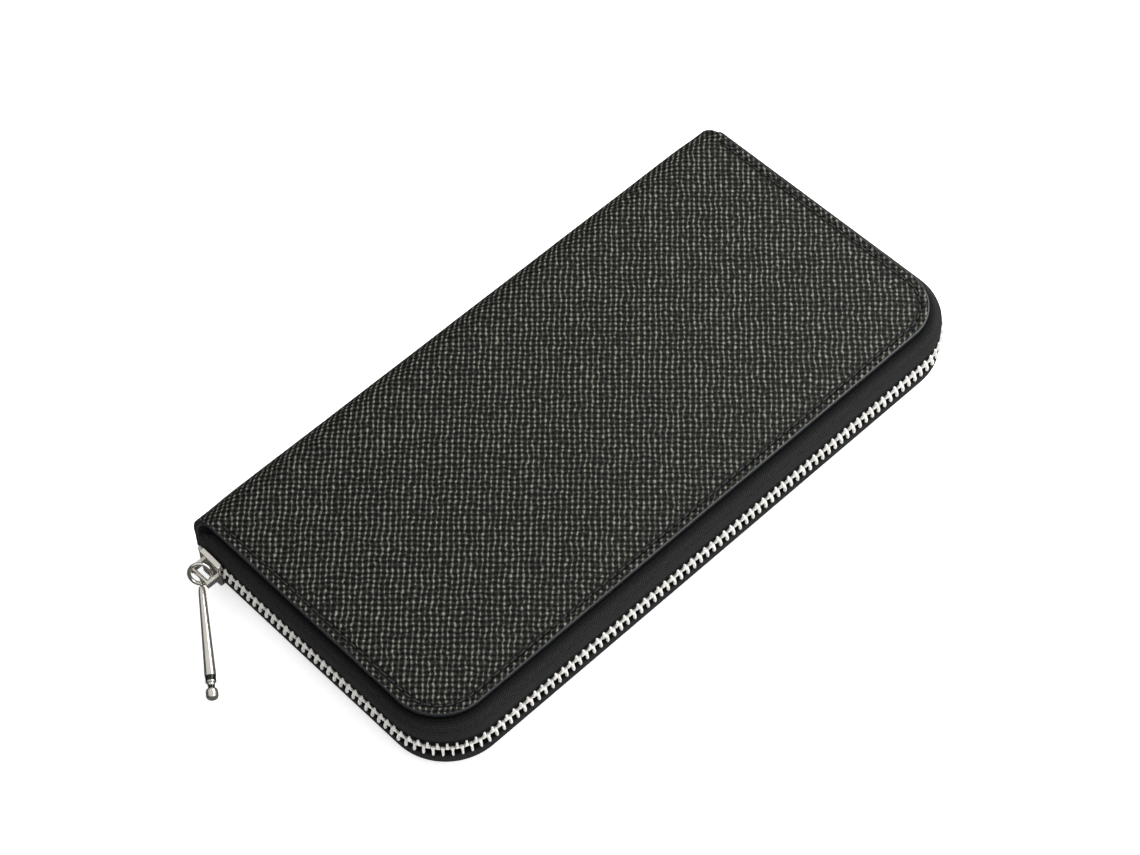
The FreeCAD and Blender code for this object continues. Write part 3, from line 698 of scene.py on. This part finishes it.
def turned_pull():
    """The pull's profile, radius against distance from the eye, carried round its axis.

    The third column is 1 where the bar is black: a wide band and a narrow one, each in a shallow groove.
    """
    bead_low = pull_length - 3.3
    profile = np.array([
        (0.85, 0, 0), (0.95, 0.7, 0), (1.4, 0.85, 0), (2.4, 0.98, 0), (bead_low - 3.65, 1.58, 0),
        (bead_low - 3.5, 1.56, 0), (bead_low - 3.42, 1.45, 1), (bead_low - 2.0, 1.45, 0),
        (bead_low - 1.9, 1.5, 0), (bead_low - 1.65, 1.45, 0), (bead_low - 1.5, 1.05, 0),
        (bead_low - 0.85, 1.02, 0), (bead_low - 0.8, 0.92, 1), (bead_low - 0.05, 0.92, 0),
        (bead_low + 0.05, 1.15, 0), (bead_low + 0.35, 1.5, 0), (bead_low + 0.8, 1.66, 0),
        (pull_length - 1.1, 1.68, 0), (pull_length - 0.5, 1.45, 0), (pull_length - 0.15, 0.95, 0),
        (pull_length, 0, 0)])
    distance, radius, banded = profile.T
    turn = np.linspace(0, 2 * math.pi, 40, endpoint=False)
    spoke = pull_side * np.cos(turn)[:, None] + pull_top * np.sin(turn)[:, None]
    return eye_middle + pull_along * distance[:, None, None] + spoke * radius[:, None, None], banded


pull_points, pull_bands = turned_pull()
bar = grid_piece("turned_pull", pull_points, [nickel_finish, glossy_black_band()], pull_bands, wrap_columns=True,
                 sharp=45)
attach(bar, "pull")
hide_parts("pull_bar")
eye = grid_piece("pull_eye", wire_ring(eye_middle, pull_along, pull_top, 1.05, 0.6, 40, 14),
                 [nickel_finish], wrap_rows=True, wrap_columns=True)
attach(eye, "pull")

# ---------------------------------------------------------------------------
# Boards and linings. A grey fibre board stiffens each cover, and thin satin leather lines
# the covers and the spine. The linings' edges are turned in and creased.
# ---------------------------------------------------------------------------


def fibre_board():
    """Pressed fibre board with short random fibres."""
    finish, tree, shader = new_finish("fibre_board", 0.9)
    where = add_node(tree, "TexCoord").outputs["Object"]
    fibre = add_node(tree, "TexNoise", {"Vector": where, "Scale": 1500.0, "Detail": 4.0, "Distortion": 1.5})
    colour = blended(tree, fibre.outputs[0], (0.2, 0.17, 0.13), (0.42, 0.37, 0.3))
    join_up(tree, shader, colour, fibre.outputs[0], 0.00005, 0.5)
    return finish


board_finish = fibre_board()
for cover in ("back_cover", "front_cover"):
    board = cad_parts[cover + "_board"]
    board.data.materials.clear()
    board.data.materials.append(board_finish)


def rounded_outline(inset, x0, x1, y0, y1, front_radius, back_radius, points=8):
    """Closed outlines of a rectangle with rounded corners, one row for each inset from its edges."""
    inset = np.asarray(inset, float)[:, None]
    turn = np.linspace(0, math.pi / 2, points)
    limit = min(x1 - x0, y1 - y0) / 2 - inset
    sides = []
    corners = ((x1, y0, -math.pi / 2, front_radius), (x1, y1, 0, back_radius),
               (x0, y1, math.pi / 2, back_radius), (x0, y0, math.pi, front_radius))
    for corner_x, corner_y, start_turn, corner_round in corners:
        radius = np.clip(np.minimum(corner_round - inset, limit), 0, None)
        middle_x = corner_x + np.sign(x0 + x1 - 2 * corner_x) * (inset + radius)
        middle_y = corner_y + np.sign(y0 + y1 - 2 * corner_y) * (inset + radius)
        sides.append(np.stack([middle_x + radius * np.cos(start_turn + turn),
                               middle_y + radius * np.sin(start_turn + turn)], axis=-1))
    return np.concatenate(sides, axis=1)


def flat_panel(name, x0, x1, y0, y1, z0, z1, front_radius, back_radius, upper, body, replaced, finish,
               crease=1.3):
    """Thin sheet with rounded edges and a line creased along them, mirrored for the front cover.

    Rows are outlines further and further in: the outer face, over the edge, and the under face.
    """
    sheet = z1 - z0
    middle = min(x1 - x0, y1 - y0) / 2
    inset = [middle, crease + 0.5, crease + 0.2, crease, crease - 0.2, 0.6, 0.2, 0.05, 0,
             0, 0.05, 0.2, middle]
    height = [1, 1, 0.98, 0.82, 0.98, 1, 0.97, 0.85, 0.65, 0.35, 0.15, 0.03, 0]
    rings = rounded_outline(inset, x0, x1, y0, y1, front_radius, back_radius)
    z = z0 + sheet * np.array(height)[:, None] * np.ones(rings.shape[:2])
    z = thickness - z if upper else z
    points = np.concatenate([rings, z[:, :, None]], axis=-1)
    piece = grid_piece(name, points, [finish], wrap_columns=True, sharp=70)
    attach(piece, body)
    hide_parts(replaced)
    return piece


cover_sides = (("back", False, "back_cover"), ("front", True, "front_cover"))
for side_name, upper, body in cover_sides:
    flat_panel(side_name + "_lining", -96.5, 96.5, -48.5, 38.5, 2.0, 2.5, 14.0, 0.4, upper, body,
               side_name + "_cover_lining", lining_finish, 0.9)
    sewn_round(side_name + "_inner_stitches", 19.5 if upper else 2.5, thread_finish, body)

lining_turn = np.radians(np.linspace(-54.8, 54.8, 41))
lining_line = np.stack([np.cos(lining_turn), np.sin(lining_turn)], axis=1)
lining_loop = np.vstack([lining_line * 9.75, lining_line[-1:] * 9.5,
                         lining_line[::-1] * 9.25, lining_line[:1] * 9.5])
lining_x = np.array([-97.3, -96.9, -60, -20, 20, 60, 96.9, 97.3])
spine_points = np.stack(np.broadcast_arrays(lining_x[None, :], (spine_y + lining_loop[:, 0])[:, None],
                                            (mid_z + lining_loop[:, 1])[:, None]), axis=-1)
spine_lining = grid_piece("spine_lining_leather", spine_points, [lining_finish], wrap_rows=True)
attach(spine_lining, "centre")
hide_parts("spine_lining")

# ---------------------------------------------------------------------------
# Card pockets. On each lining lies a slip pocket panel, and on it four strips of card slots,
# each set back 10 mm from the last. The strips are sewn down at both ends and in the middle.
# ---------------------------------------------------------------------------
pocket_sheet = 0.5
slot_count = 4
slot_step = 10.0
for side_name, upper, body in cover_sides:
    flat_panel(side_name + "_slip_pocket", -92.5, 92.5, -44.5, 36.0, 2.5, 3.0, 10.0, 0.5, upper, body,
               side_name + "_pocket_panel", lining_finish)
    seam_x, seam_y, seam_z = [], [], []
    for slot_index in range(slot_count):
        mouth = -44.5 + slot_step * (slot_index + 1)
        low = 3.0 + pocket_sheet * slot_index
        flat_panel(f"{side_name}_slot_strip_{slot_index + 1}", -88.5, 88.5, mouth, 36.0,
                   low, low + pocket_sheet, 0.6, 0.6, upper, body,
                   f"{side_name}_card_slot_{slot_index + 1}", lining_finish)
        seam_end = 34.5 if slot_index == slot_count - 1 else mouth + slot_step
        down = np.arange(mouth + 1.4, seam_end - 0.8, 2.6)
        for line_x in (-86.6, 0.0, 86.6):
            seam_x.append(np.full(len(down), line_x))
            seam_y.append(down)
            seam_z.append(np.full(len(down), low + pocket_sheet + 0.02))
    seam_x, seam_y, seam_z = (np.concatenate(part) for part in (seam_x, seam_y, seam_z))
    seam_z = thickness - seam_z if upper else seam_z
    small_stitch = (stitch_shape[0] * (0.85, 0.6, 0.5), stitch_shape[1])
    seam = repeated_piece(side_name + "_slot_stitches", small_stitch, seam_x, seam_y, seam_z,
                          np.full(len(seam_x), math.pi / 2), thread_finish)
    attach(seam, body)

# ---------------------------------------------------------------------------
# Side gussets. Folded strips of lining leather that close the ends of the two note
# compartments.
# ---------------------------------------------------------------------------
gusset_corners = [(92.3, 3.25), (88.9, 3.25), (88.9, 5.5), (75.3, 7.58), (84.0, 9.65), (80.0, 9.65)]
gusset_loop = thick_line(eased_line(gusset_corners, 0.4), 0.5)
gusset_y = np.concatenate([[-30.0, -29.8], np.linspace(-29, 35, 22), [35.8, 36.0]])
for side_name, upper, cover in cover_sides:
    for hand_name, hand in (("left", -1), ("right", 1)):
        z = mid_z - gusset_loop[:, 1]
        z = mid_z + z if upper else mid_z - z
        points = np.stack(np.broadcast_arrays((hand * gusset_loop[:, 0])[:, None], gusset_y[None, :],
                                              z[:, None]), axis=-1)
        piece = grid_piece(f"{side_name}_gusset_{hand_name}", points, [lining_finish], wrap_rows=True,
                           sharp=60)
        if upper:
            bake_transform(piece)
        else:
            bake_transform(piece)
        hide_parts(f"gusset_{side_name}_{hand_name}")

# ---------------------------------------------------------------------------
# Coin pocket. Two walls of black twill lining cloth sewn together on three sides hang from
# the spine, with a smaller metal zip along their mouth and a flat tab to pull it.
# ---------------------------------------------------------------------------


def twill_cloth():
    """Twill: fine slanting ribs with threads crossing them."""
    finish, tree, shader = new_finish("twill_cloth", 0.85, specular=0.15, Sheen_Weight=0.06)
    where = add_node(tree, "SeparateXYZ", {0: add_node(tree, "TexCoord").outputs["Object"]})
    slant = calc(tree, "MULTIPLY_ADD", where.outputs[1], 0.8, where.outputs[0])
    rib = calc(tree, "SINE", calc(tree, "MULTIPLY", slant, 2 * math.pi / 0.0006))
    thread = calc(tree, "SINE", calc(tree, "MULTIPLY", where.outputs[0], 2 * math.pi / 0.0003))
    weave = calc(tree, "MULTIPLY_ADD", thread, 0.15, calc(tree, "MULTIPLY_ADD", rib, 0.35, 0.5))
    colour = blended(tree, weave, (0.01, 0.01, 0.011), (0.045, 0.045, 0.048))
    join_up(tree, shader, colour, weave, 0.00006, 0.7)
    return finish


cloth_finish = twill_cloth()
coin_mouth_y = -32.0
coin_tooth_pitch = 2.0
coin_row_start = -68.275
coin_row_end = 68.01
for side_name, upper, _ in cover_sides:
    wall = flat_panel("coin_wall_" + side_name, -84, 84, -27, 47.55, 9.9, 10.5, 0.6, 0.6, upper, "centre",
                      "coin_pocket_wall_" + side_name, cloth_finish, 1.5)
softened("coin_pocket_seam", "coin_seam", "centre", 0.25, cloth_finish, 2)

coin_tape_corners = [(-22.0, 9.7), (-27.0, 9.7), (-32.0, 6.4), (-32.0, 10.3)]
coin_tape_loop = thick_line(eased_line(coin_tape_corners, 0.35), 0.4)
coin_tape_x = np.concatenate([[-74.5, -74.3], np.linspace(-74, 74, 60), [74.3, 74.5]])
coin_up = np.concatenate([[0], np.cumsum(np.linalg.norm(np.diff(coin_tape_loop, axis=0), axis=1))])
for half_name, upper in (("lower", False), ("upper", True)):
    z = thickness - coin_tape_loop[:, 1] if upper else coin_tape_loop[:, 1]
    points = np.stack(np.broadcast_arrays(coin_tape_x[None, :], coin_tape_loop[:, 0][:, None], z[:, None]),
                      axis=-1)
    place = np.stack(np.broadcast_arrays(coin_tape_x[None, :], coin_up[:, None], 0.0), axis=-1)
    tape = grid_piece("coin_woven_tape_" + half_name, points, [tape_finish], place=place, wrap_rows=True,
                      sharp=60)
    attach(tape, "centre")
    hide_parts("coin_tape_" + half_name)
    first = coin_row_start + (coin_tooth_pitch / 2 if upper else 0.0)
    x = np.arange(first, coin_row_end, coin_tooth_pitch)
    shape = tooth_shape(0.8, 1.5, -1.95, 0.45)
    row = repeated_piece("coin_small_teeth_" + half_name, shape, x, np.full(len(x), coin_mouth_y), mid_z,
                         np.full(len(x), math.pi if upper else 0.0), tooth_finish, flip=upper, sharp=40)
    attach(row, "centre")
    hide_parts("coin_teeth_" + half_name)

softened("coin_stop_left", "coin_end_stop_left", "centre", 0.15, tooth_finish, 2)
softened("coin_stop_right", "coin_end_stop_right", "centre", 0.15, tooth_finish, 2)
softened("coin_slider_body", "coin_slider_casting", "coin_slider", 0.18, nickel_finish, 2)
softened("coin_slider_crown", "coin_slider_bridge", "coin_slider", 0.18, nickel_finish, 2)
softened("coin_pull", "coin_pull_tab", "coin_pull", 0.2, nickel_finish, 2)

# ---------------------------------------------------------------------------
# Camera, lamps and table. The wallet lies on a white table, with a soft square lamp at its
# right end and a wider one in front. The rest of the light comes from overhead.
# ---------------------------------------------------------------------------
camera_azimuth = math.radians(-41.48)
camera_elevation = math.radians(54.59)
camera_roll = math.radians(-3.0)
camera_distance = 0.80725
camera_target = Vector((-0.00144, 0.0021, 0.010))
focal_to_frame_width = 2915.3 / 1140

back = Vector((math.sin(camera_azimuth) * math.cos(camera_elevation),
               -math.cos(camera_azimuth) * math.cos(camera_elevation),
               math.sin(camera_elevation)))
level = Vector((math.cos(camera_azimuth), math.sin(camera_azimuth), 0))
upright = back.cross(level)
right = level * math.cos(camera_roll) + upright * math.sin(camera_roll)
up = upright * math.cos(camera_roll) - level * math.sin(camera_roll)

camera_data = bpy.data.cameras.new("camera")
camera_data.sensor_width = 36.0
camera_data.lens = camera_data.sensor_width * focal_to_frame_width
camera_data.clip_start = 0.01
camera = bpy.data.objects.new("camera", camera_data)
place = camera_target + back * camera_distance
camera.matrix_world = Matrix(((right.x, up.x, back.x, place.x),
                              (right.y, up.y, back.y, place.y),
                              (right.z, up.z, back.z, place.z),
                              (0, 0, 0, 1)))
bpy.context.scene.collection.objects.link(camera)
bpy.context.scene.camera = camera
bpy.context.scene.view_settings.view_transform = "Standard"


def lamp(name, where, toward, width, height, watts):
    """Rectangular soft lamp at one point, facing another."""
    data = bpy.data.lights.new(name, "AREA")
    data.shape = "RECTANGLE"
    data.size = width
    data.size_y = height
    data.energy = watts
    made = bpy.data.objects.new(name, data)
    made.location = where
    made.rotation_euler = (Vector(toward) - Vector(where)).to_track_quat("-Z", "Y").to_euler()
    bpy.context.scene.collection.objects.link(made)


lamp("key_lamp", (0.38, -0.06, 0.4), (0.04, 0, 0), 0.45, 0.45, 3.9)
lamp("fill_lamp", (0.2, -0.85, 0.7), (0, 0, 0), 0.9, 0.5, 5)
world = bpy.data.worlds.new("sky")
world.use_nodes = True
sky = world.node_tree.nodes["Background"]
# the room is dark near the floor and pale overhead, so plated metal keeps dark outlines
look = add_node(world.node_tree, "TexCoord").outputs["Generated"]
rise = add_node(world.node_tree, "SeparateXYZ", {0: look}).outputs[2]
world.node_tree.links.new(ramped(world.node_tree, rise, 0.3, 0.6, 0.04, 0.72), sky.inputs["Strength"])
sky.inputs["Color"].default_value = (1, 1, 1, 1)
bpy.context.scene.world = world


def room_piece(name, places, faces, finish):
    """Object of the room, not of the wallet. Reflections leave it out, so plated parts show a dark room."""
    mesh = bpy.data.meshes.new(name)
    mesh.from_pydata(places, [], faces)
    mesh.materials.append(finish)
    made = bpy.data.objects.new(name, mesh)
    bpy.context.scene.collection.objects.link(made)
    made.visible_glossy = False
    return made


white = (1, 1, 1, 1)
table_finish = new_finish("white_table", 0.9, Base_Color=(0.93, 0.93, 0.93, 1), Emission_Color=white,
                          Emission_Strength=0.62)[0]
half_table = 6.0
table_corners = [(-half_table, -half_table, 0), (half_table, -half_table, 0),
                 (half_table, half_table, 0), (-half_table, half_table, 0)]
room_piece("table_top", table_corners, [(0, 1, 2, 3)], table_finish)

# a far white wall, seen only by the camera, hides where the table ends
wall_finish = new_finish("white_wall", 0.5, Emission_Color=white, Emission_Strength=1.0)[0]
wall_sides = 48
wall_radius = 5.5
wall_round = np.linspace(0, 2 * math.pi, wall_sides, endpoint=False)
wall_line = np.stack([np.cos(wall_round), np.sin(wall_round)], axis=1) * wall_radius
wall_places = [(*spot, height) for height in (-0.01, 5.0) for spot in wall_line.tolist()]
wall_faces = [(side, side + wall_sides, (side + 1) % wall_sides + wall_sides, (side + 1) % wall_sides)
              for side in range(wall_sides)]
wall = room_piece("white_wall", wall_places, wall_faces, wall_finish)
wall.visible_diffuse = False
wall.visible_shadow = False
